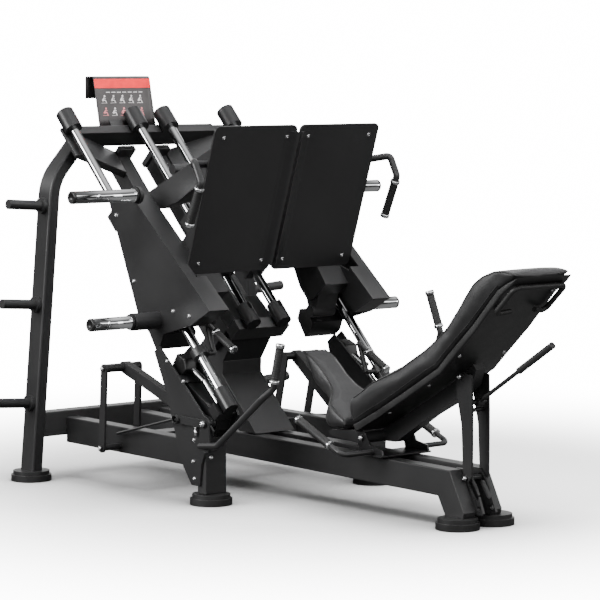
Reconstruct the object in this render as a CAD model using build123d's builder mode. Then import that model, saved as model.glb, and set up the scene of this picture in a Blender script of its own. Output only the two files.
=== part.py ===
"""Plate-loaded 45 degree leg press with two independent sleds, all sizes in millimetres.

+Z is up, +X points to the head of the bench, the machine is symmetric about Y = 0.
"""
import math
import os

from build123d import *

os.makedirs("parts", exist_ok=True)

# ---- driving dimensions -------------------------------------------------------------
rod_angle = 46.0            # guide rods below the horizontal
rod_top_x = -1139.0         # upper end of every guide rod
rod_top_z = 1475.0
rod_r = 19.0
outer_rod_y = 417.0
inner_rod_y = 78.0
outer_rod_len = 1512.0
inner_rod_len = 1119.0
bore_gap = 0.05             # radial gap of a running bore

horn_r = 25.0               # sleeve for a 50 mm plate bore
horn_tip_y = 790.0
upper_horn_x = -592.0
upper_horn_z = 1175.0
lower_horn_x = -476.0
lower_horn_z = 693.0

plate_top_x = -166.0        # footplate, upper edge
plate_top_z = 1449.0
plate_tilt = 18.0
plate_len = 604.0
plate_y_in = 8.0
plate_y_out = 417.0
plate_thick = 8.0

foot_r = 82.0
foot_h = 42.0
mid_foot = (-200.0, 418.0)
rear_foot = (-1151.0, 592.0)
head_foot = (825.0, 88.0)

post_r = 20.0
post_heights = (315.0, 713.0, 1112.0)
upright_top_y = 490.0       # where the upright bends towards the crossbeam
upright_x = -1151.0
upright_dx = 88.0
upright_dy = 50.0

pivot_x = -152.0            # release lever pivot
pivot_z = 322.0
lever_swing = 24.0          # degrees between the two lever positions
stop_travel = 160.0

bench_pivot = (335.0, 287.0)    # transverse tube under the bench
strut_top = (790.0, 553.0)
strut_foot = (822.0, 182.0)
strut_hole = (868.0, 118.0)     # next lower position of the strut foot

x_shift = 22.508            # moves the origin to the middle of the overall length

su = math.sin(math.radians(rod_angle))
cu = math.cos(math.radians(rod_angle))


def on_rod(s, n=0.0):
    """Point (x, z) at distance s down a guide rod and n above it."""
    return (rod_top_x + s * cu + n * su, rod_top_z - s * su + n * cu)


def rod_plane(side_y, s, n=0.0):
    """Plane square to the guide rods, facing down them, local y along the rod normal."""
    x, z = on_rod(s, n)
    return Plane(origin=(x, side_y, z), x_dir=(0, 1, 0), z_dir=(cu, 0, -su))


def xz(y):
    """Plane parallel to XZ whose sketches use (x, z) directly and extrude towards +Y."""
    return Plane(origin=(0, y, 0), x_dir=(1, 0, 0), z_dir=(0, -1, 0))


def turned(point, centre, degrees):
    """Point (x, z) turned about a centre; positive lifts the +X side."""
    a = math.radians(degrees)
    dx = point[0] - centre[0]
    dz = point[1] - centre[1]
    return (centre[0] + dx * math.cos(a) - dz * math.sin(a), centre[1] + dx * math.sin(a) + dz * math.cos(a))


def slab(points, y_low, y_high, round_r=0.0, mode=Mode.ADD):
    """Side profile in (x, z) extruded between two y values, added to the open part."""
    with BuildSketch(xz(y_low)) as profile:
        with BuildLine():
            Polyline(*points, close=True)
        make_face()
        if round_r > 0:
            fillet(profile.vertices(), round_r)
    extrude(profile.sketch, amount=-(y_high - y_low), mode=mode)


def rod_slab(points, y_low, y_high, round_r=0.0, mode=Mode.ADD):
    """Side profile in rod coordinates (s, n) extruded between two y values."""
    slab([on_rod(s, n) for s, n in points], y_low, y_high, round_r, mode)


def bar_y(x, z, r, y_low, y_high, mode=Mode.ADD):
    """Round bar along Y."""
    with BuildSketch(xz(y_low)) as disc:
        with Locations((x, z)):
            Circle(r)
    extrude(disc.sketch, amount=-(y_high - y_low), mode=mode)


def ring_y(x, z, r_out, r_in, y_low, y_high):
    """Tube along Y."""
    with BuildSketch(xz(y_low)) as ring:
        with Locations((x, z)):
            Circle(r_out)
            Circle(r_in, mode=Mode.SUBTRACT)
    extrude(ring.sketch, amount=-(y_high - y_low))


def box(x0, x1, y0, y1, z0, z1, mode=Mode.ADD):
    """Box between two corners, added to the open part."""
    with BuildSketch(Plane.XY.offset(z0)) as base:
        with Locations(((x0 + x1) / 2, (y0 + y1) / 2)):
            Rectangle(x1 - x0, y1 - y0)
    extrude(base.sketch, amount=z1 - z0, mode=mode)


def tube_path(points, r, bend, wall=0.0):
    """Bent round bar along a filleted polyline."""
    with BuildLine() as run:
        FilletPolyline(*points, radius=bend)
    start = run.line @ 0
    heading = run.line % 0
    with BuildSketch(Plane(origin=start, z_dir=heading)) as section:
        Circle(r)
        if wall > 0:
            Circle(r - wall, mode=Mode.SUBTRACT)
    sweep(section.sketch, path=run.line)


def straight(p, q, r, mode=Mode.ADD, r_in=0.0):
    """Straight round bar or tube between two points."""
    a = Vector(*p)
    b = Vector(*q)
    with BuildSketch(Plane(origin=a, z_dir=(b - a).normalized())) as section:
        Circle(r)
        if r_in > 0:
            Circle(r_in, mode=Mode.SUBTRACT)
    extrude(section.sketch, amount=(b - a).length, mode=mode)


def write(builder, label):
    part = builder.part.moved(Location((x_shift, 0, 0)))
    part.label = label
    export_step(part, f"parts/{label}.step")


def bolt_y(x, z, y, side, r=9.0, h=6.0):
    """Domed bolt head on a face that looks outwards."""
    y_low = y if side > 0 else y - h
    bar_y(x, z, r, y_low, y_low + h)


sides = (("left", -1), ("right", 1))


def span(side, a, b):
    """Low and high y of a band given by distances from the middle."""
    return (side * a, side * b) if side > 0 else (side * b, side * a)


# ---- fixed frame --------------------------------------------------------------------
with BuildPart() as head_rails:
    for tag, side in sides:
        lo, hi = span(side, 37, 97)
        slab([(-560, 134), (-560, 230), (790, 212), (868, 62), (862, foot_h), (766, foot_h), (726, 112)], lo, hi)
    for tag, side in sides:
        lo, hi = span(side, 37, 97)
        slab([(-1115, 180), (-1115, 250), (-560, 230), (-560, 160)], lo, hi)
write(head_rails, "head_rails")

with BuildPart() as side_rails:
    for tag, side in sides:
        lo, hi = span(side, 380, 442)
        slab([(-1115, 146), (-1115, 250), (-226, 240), (-226, 138)], lo, hi)
        bar_y(-752, 168, 12 + bore_gap, *span(side, 370, 450), mode=Mode.SUBTRACT)
write(side_rails, "side_rails")

with BuildPart() as cross_beams:
    box(-1187, -1115, -560, 560, 176, 276)
    for tag, side in sides:
        lo, hi = span(side, 97, 380)
        box(-710, -630, lo, hi, 150, 226)
write(cross_beams, "cross_beams")

with BuildPart() as mid_legs:
    for tag, side in sides:
        lo, hi = span(side, 364, 464)
        box(-226, -174, lo, hi, foot_h, 262)
write(mid_legs, "mid_legs")

with BuildPart() as pedestal:
    rod_slab([(985, -345), (985, -232), (1130, -232), (1165, -270), (1466, -270), (1393, -345)], -100, 100)
    slab([(-320, 226), (-250, 200), (-600, 200), (-560, 300)], -36, 36, mode=Mode.SUBTRACT)
    box(-700, -200, -101, 101, 90, 231, mode=Mode.SUBTRACT)
    for tag, side in sides:
        lo, hi = span(side, 62, 130)
        rod_slab([(880, -154), (905, -104), (1075, -84), (1075, -226), (985, -226), (985, -154)], lo, hi)
    rod_slab([(1075, -100), (1075, -31.5), (1125, -31.5), (1125, -100)], -130, 130)
    rod_slab([(1075, -232), (1075, -100), (1100, -100), (1128, -232)], -100, 100)
write(pedestal, "pedestal")

with BuildPart() as centre_tubes:
    for tag, side in sides:
        lo, hi = span(side, 62, 130)
        rod_slab([(96, -226), (96, -154), (985, -154), (985, -226)], lo, hi)
    for tag, side in sides:
        lo, hi = span(side, 50, 129.5)
        rod_slab([(72, -112), (72, -226), (96, -226), (96, -112)], lo, hi)
write(centre_tubes, "centre_tubes")

def wing_plates(side, reach, mode=Mode.ADD):
    """Slanted plate that carries the outer rod end and the tie in front of it; reach raises the top edge."""
    with BuildSketch(rod_plane(0, 72)) as wing:
        with BuildLine():
            Polyline((side * 448, -44), (side * 448, -30 + reach), (side * 392, -30 + reach),
                     (side * 130, -146 + 2 * reach), (side * 130, -180), close=True)
        make_face()
    extrude(wing.sketch, amount=118, mode=mode)
    with BuildSketch(rod_plane(0, 40)) as tie:
        with BuildLine():
            Polyline((side * 448, -44), (side * 448, -30 + reach), (side * 338, -30 + reach), (side * 338, -98),
                     close=True)
        make_face()
    extrude(tie.sketch, amount=32, mode=mode)


with BuildPart() as crossbeam:
    rod_slab([(32, -112), (32, -30), (72, -30), (72, -112)], -338, 338)
    for tag, side in sides:
        wing_plates(side, 0)
write(crossbeam, "crossbeam")

with BuildPart() as uprights:
    for tag, side in sides:
        with BuildLine() as stem:
            FilletPolyline((upright_x, side * 592.4, foot_h - 8), (upright_x, side * upright_top_y, 1215),
                           (upright_x, side * 322, 1402), radius=190)
        with BuildSketch(Plane(origin=stem.line @ 0, x_dir=(1, 0, 0), z_dir=stem.line % 0)) as section:
            RectangleRounded(upright_dx, upright_dy, 8)
        sweep(section.sketch, path=stem.line)
    rod_slab([(-60, -112), (-60, -30), (72, -30), (72, -112)], -338, 338, mode=Mode.SUBTRACT)
    rod_slab([(-200, -30), (-200, 200), (200, 200), (200, -30)], -338, 338, mode=Mode.SUBTRACT)
    for tag, side in sides:
        wing_plates(side, 80, Mode.SUBTRACT)
    box(upright_x - 60, upright_x + 60, -700, 700, 0, foot_h, mode=Mode.SUBTRACT)
    box(-1187, -1115, -560, 560, 176, 276, mode=Mode.SUBTRACT)
write(uprights, "uprights")

with BuildPart() as storage_posts:
    for tag, side in sides:
        for h in post_heights:
            base_y = 592.4 - (592.4 - upright_top_y) * (h - foot_h + 8) / 1181 + upright_dy / 2
            rise = math.tan(math.radians(4.0))
            a = (upright_x, side * (base_y - 10), h - 10 * rise)
            b = (upright_x, side * (base_y + 172), h + 172 * rise)
            c = (upright_x, side * (base_y + 16), h + 16 * rise)
            straight(a, b, post_r)
            straight(a, c, 33)
        with BuildSketch(Plane.YZ.offset(upright_x - 60)) as inner:
            with BuildLine():
                Polyline((side * 400, 0), (side * 620.5, 0), (side * 509.2, 1284), (side * 400, 1284), close=True)
            make_face()
        extrude(inner.sketch, amount=120, mode=Mode.SUBTRACT)
write(storage_posts, "storage_posts")

with BuildPart() as guide_rods:
    for tag, side in sides:
        with BuildSketch(rod_plane(side * outer_rod_y, 4)) as round_bar:
            Circle(rod_r)
        extrude(round_bar.sketch, amount=outer_rod_len - 4)
    for tag, side in sides:
        with BuildSketch(rod_plane(side * inner_rod_y, 4)) as round_bar:
            Circle(rod_r)
        extrude(round_bar.sketch, amount=inner_rod_len - 4)
write(guide_rods, "guide_rods")

with BuildPart() as rod_cups:
    for y in (-outer_rod_y, -inner_rod_y, inner_rod_y, outer_rod_y):
        with BuildSketch(rod_plane(y, -14)) as cup:
            Circle(37)
        extrude(cup.sketch, amount=92)
        with BuildSketch(rod_plane(y, 4)) as bore:
            Circle(rod_r + bore_gap)
        extrude(bore.sketch, amount=80, mode=Mode.SUBTRACT)
    rod_slab([(-60, -90), (-60, -29.95), (120, -29.95), (120, -90)], -500, 500, mode=Mode.SUBTRACT)
    for tag, side in sides:
        with BuildSketch(rod_plane(side * inner_rod_y, 1037)) as cup:
            Circle(31.4)
        extrude(cup.sketch, amount=94)
        with BuildSketch(rod_plane(side * inner_rod_y, 1030)) as bore:
            Circle(rod_r + bore_gap)
        extrude(bore.sketch, amount=89.2, mode=Mode.SUBTRACT)
        with BuildSketch(rod_plane(side * inner_rod_y, 1030, 27)) as split:
            Rectangle(12, 30)
        extrude(split.sketch, amount=42, mode=Mode.SUBTRACT)
    for tag, side in sides:
        with BuildSketch(rod_plane(side * outer_rod_y, 1430)) as cup:
            Circle(30)
        extrude(cup.sketch, amount=96)
        with BuildSketch(rod_plane(side * outer_rod_y, 1420)) as bore:
            Circle(rod_r + bore_gap)
        extrude(bore.sketch, amount=92.2, mode=Mode.SUBTRACT)
        lo, hi = span(side, 376, 456)
        rod_slab([(1466, -70), (1466, -30.2), (1522, -30.2), (1522, -70)], lo, hi)
write(rod_cups, "rod_cups")

with BuildPart() as side_plates:
    for tag, side in sides:
        lo, hi = span(side, 465, 474)
        slab([(-484, 570), (-454, 594), (-160, 335), (-119, 296), (-152, 240), (-190, 160), (-202, 74), (-250, 74),
              (-302, 141), (-352, 262), (-400, 400)], lo, hi)
        bar_y(pivot_x, pivot_z, 12 + bore_gap, *span(side, 460, 480), mode=Mode.SUBTRACT)
write(side_plates, "side_plates")

with BuildPart() as side_webs:
    for tag, side in sides:
        lo, hi = span(side, 366, 376)
        slab([(-425, 560), (-385, 592), (-115, 395), (-88, 352), (-150, 262), (-340, 262)], lo, hi)
        lo, hi = span(side, 376, 440)
        rod_slab([(1262, -150), (1262, -128), (1466, -70.4), (1522, -70.4), (1540, -110), (1440, -140)], lo, hi)
        lo, hi = span(side, 376, 465)
        rod_slab([(1262, -128), (1262, -112), (1300, -112), (1300, -128)], lo, hi)
        lo, hi = span(side, 442, 465)
        slab([(-300, 160), (-300, 236), (-240, 236), (-240, 160)], lo, hi)
write(side_webs, "side_webs")

with BuildPart() as bumpers:
    for tag, side in sides:
        lo, hi = span(side, 386, 446)
        rod_slab([(1196, -150), (1180, -80), (1225, -60), (1262, -82), (1262, -127.5), (1240, -148)], lo, hi)
write(bumpers, "bumpers")

with BuildPart() as feet:
    for cx, cy in (mid_foot, rear_foot, head_foot):
        for side in (-1, 1):
            with BuildSketch(Plane.XY) as pad:
                with Locations((cx, side * cy)):
                    Circle(foot_r)
            extrude(pad.sketch, amount=26)
            with BuildSketch(Plane.XY.offset(26)) as cap:
                with Locations((cx, side * cy)):
                    Circle(foot_r - 8)
            extrude(cap.sketch, amount=foot_h - 26)
write(feet, "feet")

with BuildPart() as placard:
    slab([(-1180, 1454), (-1176, 1454), (-1212, 1622), (-1220, 1630), (-1258, 1630), (-1266, 1622), (-1266, 1540),
          (-1262, 1540), (-1262, 1620), (-1257, 1626), (-1222, 1626), (-1216, 1621)], -226, 64)
    for y0, y1 in ((-226, -176.2), (-111.8, 64)):
        slab([(-1180, 1454), (-1176, 1454), (-1171, 1430), (-1175, 1430)], y0, y1)
write(placard, "placard")

with BuildPart() as placard_stay:
    slab([(-1180, 1390.95), (-1150, 1419.9), (-1155, 1430), (-1172, 1454), (-1180, 1454), (-1207.7, 1580),
          (-1213.7, 1580), (-1186, 1452)], -176, -112)
write(placard_stay, "placard_stay")


# ---- two independent sleds ----------------------------------------------------------
plate_n = (math.cos(math.radians(plate_tilt)), -math.sin(math.radians(plate_tilt)))
plate_u = (math.sin(math.radians(plate_tilt)), math.cos(math.radians(plate_tilt)))


def on_plate(down, out=0.0):
    """Point (x, z) measured down the footplate from its upper edge and out of its front face."""
    return (plate_top_x - down * plate_u[0] + out * plate_n[0], plate_top_z - down * plate_u[1] + out * plate_n[1])


def plate_plane(y, down, out=0.0):
    """Plane on the footplate front, local x along +Y and local y up the plate."""
    x, z = on_plate(down, out)
    return Plane(origin=(x, y, z), x_dir=(0, 1, 0), z_dir=(plate_n[0], 0, plate_n[1]))


for tag, side in sides:
    mid_y = side * (plate_y_in + plate_y_out) / 2

    with BuildPart() as footplate:
        with BuildSketch(plate_plane(mid_y, plate_len / 2)) as outline:
            Rectangle(plate_y_out - plate_y_in, plate_len)
            fillet(outline.vertices(), 22)
        extrude(outline.sketch, amount=-plate_thick)
        lip_x, lip_z = on_plate(plate_len - 24)
        with BuildSketch(Plane(origin=(lip_x, 0, lip_z), x_dir=(0, 1, 0), z_dir=(plate_u[0], 0, plate_u[1]))) as lip:
            with BuildLine():
                Polyline((side * 66, 0), (side * 44, -2.5), (side * 26, -8), (side * 8, -18), (side * 8, 0), close=True)
            make_face()
        extrude(lip.sketch, amount=plate_len - 48)
        for down in (46, 560):
            with BuildSketch(plate_plane(side * 54, down)) as pocket:
                Circle(8)
            extrude(pocket.sketch, amount=12, mode=Mode.SUBTRACT)
    write(footplate, f"footplate_{tag}")

    with BuildPart() as plate_bolts:
        for y in (54, 369):
            for down in (46, 560):
                with BuildSketch(plate_plane(side * y, down, 0.0)) as head:
                    Circle(8)
                extrude(head.sketch, amount=4)
        for x, z in ((-739, 1090), (-624, 836), (-375, 735), (-276, 723)):
            bolt_y(x, z, side * 464, side, 9, 6)
    write(plate_bolts, f"sled_bolts_{tag}")

    with BuildPart() as sled_frame:
        lo, hi = span(side, 455, 464)
        slab([(-790, 1150), (-750, 1182), (-640, 1172), (-150, 752), (-262, 690), (-440, 640), (-456, 600), (-486, 577),
              (-528, 639), (-600, 705)], lo, hi)
        lo, hi = span(side, 378, 455)
        slab([(-640, 1172), (-150, 752), (-156, 745), (-646, 1165)], lo, hi)
        slab([(-150, 752), (-262, 690), (-269, 695), (-158, 756)], lo, hi)
        lo, hi = span(side, 369, 378)
        slab([(-640, 1172), (-150, 752), (-262, 690), (-470, 880), (-700, 1110)], lo, hi)
        lo, hi = span(side, 300, 455)
        slab([(-535, 650), (-486, 577), (-456, 600), (-440, 640), (-476, 690), (-520, 690)], lo, hi)
        for s0 in (520, 930):
            lo, hi = span(side, 369, 464)
            rod_slab([(s0, -29.5), (s0, 34), (s0 + 78, 34), (s0 + 78, -29.5)], lo, hi)
        lo, hi = span(side, 300, 369)
        tx, tz = on_plate(60, -plate_thick)
        bx, bz = on_plate(175, -plate_thick)
        slab([(-650, 1184), (-565, 1222), (tx, tz), (bx, bz), (-470, 1150), (-590, 1118)], lo, hi)
        lo, hi = span(side, 250, 369)
        a = on_plate(300, -plate_thick)
        b = on_plate(598, -plate_thick)
        slab([a, b, (-300, 805), (-380, 742), (-412, 735), (-460, 785), (-507, 877), (-440, 1000)], lo, hi)
        lo, hi = span(side, 46, 250)
        c = on_plate(330, -plate_thick)
        d = on_plate(590, -plate_thick)
        slab([c, d, (-440, 900), (-548, 980), (-560, 1010), (-490, 1060)], lo, hi)
        bar_y(-400, 690, 24, *span(side, 250, 369))
        slab([(-440, 770), (-352, 780), (-382, 690), (-418, 690)], *span(side, 262, 369))
        for s0 in (560, 790):
            lo, hi = span(side, 42, 118)
            rod_slab([(s0, -33), (s0, 60), (s0 + 84, 60), (s0 + 84, -33)], lo, hi)
            with BuildSketch(rod_plane(side * inner_rod_y, s0 - 1)) as bore:
                Circle(rod_r + bore_gap)
            extrude(bore.sketch, amount=90, mode=Mode.SUBTRACT)
        lo, hi = span(side, 46, 110)
        rod_slab([(480, 60), (480, 92), (874, 92), (874, 60)], lo, hi)
        rod_slab([(480, 60), (480, 92), (400, 124), (376, 118), (388, 84)], *span(side, 60, 96))
        bar_y(*on_rod(398, 104), 21, *span(side, 30, 146))
        bar_y(upper_horn_x, upper_horn_z, 34, *span(side, 464, 478))
        bar_y(lower_horn_x, lower_horn_z, 34, *span(side, 464, 590))
        notch = [on_plate(300, -plate_thick), on_plate(plate_len + 0.3, -plate_thick), on_plate(plate_len + 0.3, 60),
                 on_plate(300, 60)]
        slab(notch, *span(side, 0, plate_y_out + 0.3), mode=Mode.SUBTRACT)
        for s0 in (500, 910):
            with BuildSketch(rod_plane(side * outer_rod_y, s0)) as bore:
                Circle(rod_r + 6.0)
            extrude(bore.sketch, amount=120, mode=Mode.SUBTRACT)
        for s0 in (540, 770):
            with BuildSketch(rod_plane(side * inner_rod_y, s0)) as bore:
                Circle(rod_r + bore_gap)
            extrude(bore.sketch, amount=110, mode=Mode.SUBTRACT)
    write(sled_frame, f"sled_frame_{tag}")

    with BuildPart() as outer_bearings:
        for s0 in (514, 924):
            with BuildSketch(rod_plane(side * outer_rod_y, s0)) as sleeve:
                Circle(rod_r + 5.9)
                Circle(rod_r + bore_gap, mode=Mode.SUBTRACT)
            extrude(sleeve.sketch, amount=90)
    write(outer_bearings, f"outer_bearings_{tag}")

    with BuildPart() as horns:
        bar_y(upper_horn_x, upper_horn_z, horn_r, *span(side, 478, horn_tip_y))
        bar_y(lower_horn_x, lower_horn_z, horn_r, *span(side, 590, horn_tip_y))
    write(horns, f"horns_{tag}")

    with BuildPart() as side_handle:
        tube_path([(-262, side * 369, 1304), (-262, side * 452, 1304), (-196, side * 500, 1318),
                   (-154.8, side * 500, 1239.3), (-162.8, side * 500, 1221)], 14, 22)
    write(side_handle, f"side_handle_{tag}")

    with BuildPart() as side_grip:
        straight((-162.8, side * 500, 1221), (-222, side * 500, 1086), 17)
        straight((-162.8, side * 500, 1221), (-167.8, side * 500, 1209.6), 21)
        straight((-222, side * 500, 1086), (-229, side * 500, 1070), 19)
    write(side_grip, f"side_grip_{tag}")


# ---- release linkage and stop of each side ------------------------------------------
pivot = (pivot_x, pivot_z)
arm_low = (-402.0, 371.0)
stirrup_top = (-735.0, 486.0)
stirrup_foot = (-752.0, 168.0)
push_low = (-747.0, 219.0)
push_high = (-308.0, 325.0)
arm_length = math.dist(arm_low, stirrup_top)


def closed_top(low):
    """Stirrup top for a given lower arm pin: both link lengths are kept."""
    reach = math.dist(stirrup_top, stirrup_foot)
    gap = math.dist(low, stirrup_foot)
    bearing = math.atan2(low[1] - stirrup_foot[1], low[0] - stirrup_foot[0])
    opening = math.acos((reach ** 2 + gap ** 2 - arm_length ** 2) / (2 * reach * gap))
    angle = bearing + opening
    return (stirrup_foot[0] + reach * math.cos(angle), stirrup_foot[1] + reach * math.sin(angle))


def bar_between(p, q, width, y_low, y_high, mode=Mode.ADD):
    """Flat link with round ends between two pins."""
    length = math.dist(p, q)
    angle = math.degrees(math.atan2(q[1] - p[1], q[0] - p[0]))
    with BuildSketch(xz(y_low)) as link:
        with Locations(Location(((p[0] + q[0]) / 2, (p[1] + q[1]) / 2), angle)):
            SlotCenterToCenter(length, width)
    extrude(link.sketch, amount=-(y_high - y_low), mode=mode)


for tag, side in sides:
    swing = 0.0 if side < 0 else lever_swing
    low = turned(arm_low, pivot, swing)
    top = closed_top(low)
    tilt = math.degrees(math.atan2(top[1] - stirrup_foot[1], top[0] - stirrup_foot[0])
                        - math.atan2(stirrup_top[1] - stirrup_foot[1], stirrup_top[0] - stirrup_foot[0]))
    push_a = turned(push_low, stirrup_foot, tilt)
    push_b = turned(push_high, pivot, swing)

    with BuildPart() as lever:
        bar_y(*pivot, 12, *span(side, 446, 492))
        bar_between(pivot, turned(push_high, pivot, swing), 30, *span(side, 492, 500))
        bar_between(pivot, turned((-146, 236), pivot, swing), 52, *span(side, 482, 490))
        bar_between(pivot, low, 34, *span(side, 446, 456))
        bar_y(*low, 7.5, *span(side, 399, 446))
        points = []
        for x, y, z in ((-166, 500, 236), (-61, 500, 247), (185, 483, 448), (235.2, 472.2, 487), (238, 470, 508)):
            px, pz = turned((x, z), pivot, swing)
            points.append((px, side * y, pz))
        tube_path(points, 12.5, 22)
        bar_y(*push_b, 4, *span(side, 500, 507))
    write(lever, f"release_lever_{tag}")

    with BuildPart() as lever_grip:
        a = turned((238, 508), pivot, swing)
        b = turned((256, 642), pivot, swing)
        c = turned((258.1, 657.9), pivot, swing)
        d = turned((239.9, 521.9), pivot, swing)
        straight((a[0], side * 470, a[1]), (b[0], side * 456, b[1]), 16)
        straight((a[0], side * 470, a[1]), (d[0], side * 468.54, d[1]), 19.5)
        straight((b[0], side * 456, b[1]), (c[0], side * 454.35, c[1]), 18)
    write(lever_grip, f"lever_grip_{tag}")

    with BuildPart() as stirrup:
        bar_between(stirrup_foot, top, 36, *span(side, 524, 534))
        bar_between(stirrup_foot, top, 36, *span(side, 354, 364))
        bar_y(*top, 17, *span(side, 364, 524))
        bar_y(*stirrup_foot, 12, *span(side, 364, 524))
        for pin in (stirrup_foot, top):
            bar_y(*pin, 11, *span(side, 534, 542))
        bar_y(*push_a, 6, *span(side, 346, 354))
    write(stirrup, f"stirrup_{tag}")

    with BuildPart() as link_arm:
        bar_between(low, top, 44, *span(side, 404, 440))
        bar_y(*top, 17 + bore_gap, *span(side, 400, 445), mode=Mode.SUBTRACT)
        bar_y(*low, 18.5, *span(side, 400, 445), mode=Mode.SUBTRACT)
    write(link_arm, f"link_arm_{tag}")

    with BuildPart() as push_rod:
        straight((push_a[0] + 22, side * 474, push_a[1] + 5), (push_b[0] - 14.5, side * 507, push_b[1] - 2), 5)
        straight((push_a[0] + 22, side * 474, push_a[1] + 5), (push_a[0] + 22, side * 460, push_a[1] + 5), 5)
        ring_y(push_b[0], push_b[1], 17, 13.5, *span(side, 501, 513))
        bar_y(push_b[0], push_b[1], 13.5, *span(side, 495, 515), mode=Mode.SUBTRACT)
    write(push_rod, f"push_rod_{tag}")

    drop = 0.0 if side < 0 else stop_travel
    with BuildPart() as stop_block:
        with BuildSketch(rod_plane(side * outer_rod_y, 1232 + drop)) as collar:
            Circle(33)
            Circle(rod_r + bore_gap, mode=Mode.SUBTRACT)
        extrude(collar.sketch, amount=36)
        x0, z0 = on_rod(1250 + drop, -2)
        tx, tz = on_rod(1135 + drop, 49)
        gx, gz = on_rod(1196 + drop, 60)
        straight((x0, side * 389, z0), (x0, side * 345, z0), 10)
        straight((x0, side * 345, z0), (tx + 4, side * 345, tz - 16), 10.5)
        straight((tx - 4, side * 345, tz - 4), (gx, side * 345, gz), 10.5)
        with Locations((tx, side * 345, tz - 9)):
            Sphere(12.5)
        with Locations((gx, side * 345, gz)):
            Sphere(10.5)
        straight((gx, side * 345, gz), (gx + 88, side * 345, gz - 47.5), 22, mode=Mode.SUBTRACT)
    write(stop_block, f"stop_block_{tag}")

    with BuildPart() as stop_grip:
        ex = gx + 0.88 * 118
        ez = gz - 0.475 * 118
        straight((gx, side * 345, gz), (ex, side * 345, ez), 15)
        straight((gx, side * 345, gz), (gx + 11, side * 345, gz - 6), 18)
        straight((ex, side * 345, ez), (ex + 14, side * 345, ez - 7.5), 19)
    write(stop_grip, f"stop_grip_{tag}")

with BuildPart() as side_hardware:
    for tag, side in sides:
        for x, z in ((-240, 166), (-234, 250), (-300, 470), (-402, 540), (-232, 100)):
            bolt_y(x, z, side * 474, side, 8, 5)
        for z in (186, 236):
            with BuildSketch(Plane(origin=(-174, side * 440, z), x_dir=(0, 1, 0), z_dir=(1, 0, 0))) as nut:
                Circle(9)
            extrude(nut.sketch, amount=6)
        straight((-214, side * 481.5, 304), (-214, side * 481.5, 268), 7.5)
write(side_hardware, "side_hardware")

with BuildPart() as dampers:
    for tag, side in sides:
        a = on_rod(1262, -86)
        b = on_rod(1336, -63)
        c = on_rod(1466, -58)
        straight((a[0], side * 406, a[1]), (b[0], side * 406, b[1]), 12)
        straight((b[0], side * 406, b[1]), (c[0], side * 406, c[1]), 8)
        rod_slab([(1180, -150), (1180, 0), (1262, 0), (1262, -150)], *span(side, 380, 450), mode=Mode.SUBTRACT)
        rod_slab([(1466, -150), (1466, 0), (1562, 0), (1562, -150)], *span(side, 380, 450), mode=Mode.SUBTRACT)
write(dampers, "dampers")

# ---- bench --------------------------------------------------------------------------
with BuildPart() as bench_bracket:
    box(318, 452, -128, 128, 222.4, 229)
    for side in (-1, 1):
        lo, hi = span(side, 112, 120)
        slab([(322, 229), (312, 262), (312, 304), (330, 314), (356, 304), (380, 262), (446, 250), (452, 229)], lo, hi)
        bar_y(*bench_pivot, 15 + bore_gap, *span(side, 110, 122), mode=Mode.SUBTRACT)
write(bench_bracket, "bench_bracket")

with BuildPart() as head_plates:
    for side in (-1, 1):
        lo, hi = span(side, 27, 37)
        slab([(760, 214), (820, 214), (868, 150), (905, 60), (900, 52), (800, 52), (770, 120)], lo, hi)
        for x, z in ((884, 76),):
            bar_y(x, z, 9, *span(side, 26, 38), mode=Mode.SUBTRACT)
        bar_between(strut_foot, strut_hole, 25, *span(side, 20, 40), mode=Mode.SUBTRACT)
write(head_plates, "head_plates")

with BuildPart() as bench_spine:
    slab([(130, 292), (150, 299), (272, 309), (318, 302), (335, 300), (335, 266), (300, 262), (150, 276)], -110, 110)
    slab([(300, 292), (322, 268), (420, 272), (613, 392), (763, 470), (826, 520), (850, 580), (836, 600), (781, 556),
          (592, 446), (455, 369), (330, 305)], -24, 24)
    bar_y(*bench_pivot, 21, -111, 111)
    bar_y(*bench_pivot, 15, -121, 121)
    bar_y(*bench_pivot, 12, -128, 128)
    bar_y(*strut_top, 12, -30, 30)
write(bench_spine, "bench_spine")

front = [(277, 372), (273, 426), (300, 445), (391, 505), (551, 575), (686, 649), (739, 686), (803, 739), (844, 789),
         (906, 865), (947, 911), (998, 943), (1048, 960), (1110, 966), (1160, 960), (1174, 943)]
seam = [(1124, 922), (1074, 894), (948, 760), (819, 642), (767, 590), (579, 481), (442, 405), (302, 334)]
board_back = [(320, 310), (455, 380), (592, 457), (781, 567), (836, 620), (963, 738), (1090, 872), (1150, 916)]

with BuildPart() as back_pad:
    slab(front + seam, -148, 148)
write(back_pad, "back_pad")

with BuildPart() as back_board:
    slab([(1174, 942)] + [(x + 0.2, z - 0.4) for x, z in seam] + board_back, -140, 140)
write(back_board, "back_board")

with BuildPart() as board_bolts:
    for side in (-1, 1):
        for a, b, t in (((455, 380), (592, 457), 0.2), ((592, 457), (781, 567), 0.55), ((836, 620), (963, 738), 0.15),
                        ((1090, 872), (1150, 916), 0.2)):
            x = a[0] + (b[0] - a[0]) * t
            z = a[1] + (b[1] - a[1]) * t
            run = math.hypot(b[0] - a[0], b[1] - a[1])
            out = Vector((b[1] - a[1]) / run, 0, -(b[0] - a[0]) / run)
            with BuildSketch(Plane(origin=(x, side * 112, z), z_dir=out)) as head:
                Circle(8)
            extrude(head.sketch, amount=4)
write(board_bolts, "board_bolts")

with BuildPart() as seat_pad:
    slab([(-90, 585), (-17, 560), (60, 500), (165, 420), (262, 356), (272, 310), (150, 300), (70, 410), (-12, 447),
          (-66, 540)], -66, 66, 12)
    slab([(128, 452), (165, 420), (262, 356), (272, 310), (150, 300), (112, 342), (106, 382)], -146, 146, 10)
write(seat_pad, "seat_pad")

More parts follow.
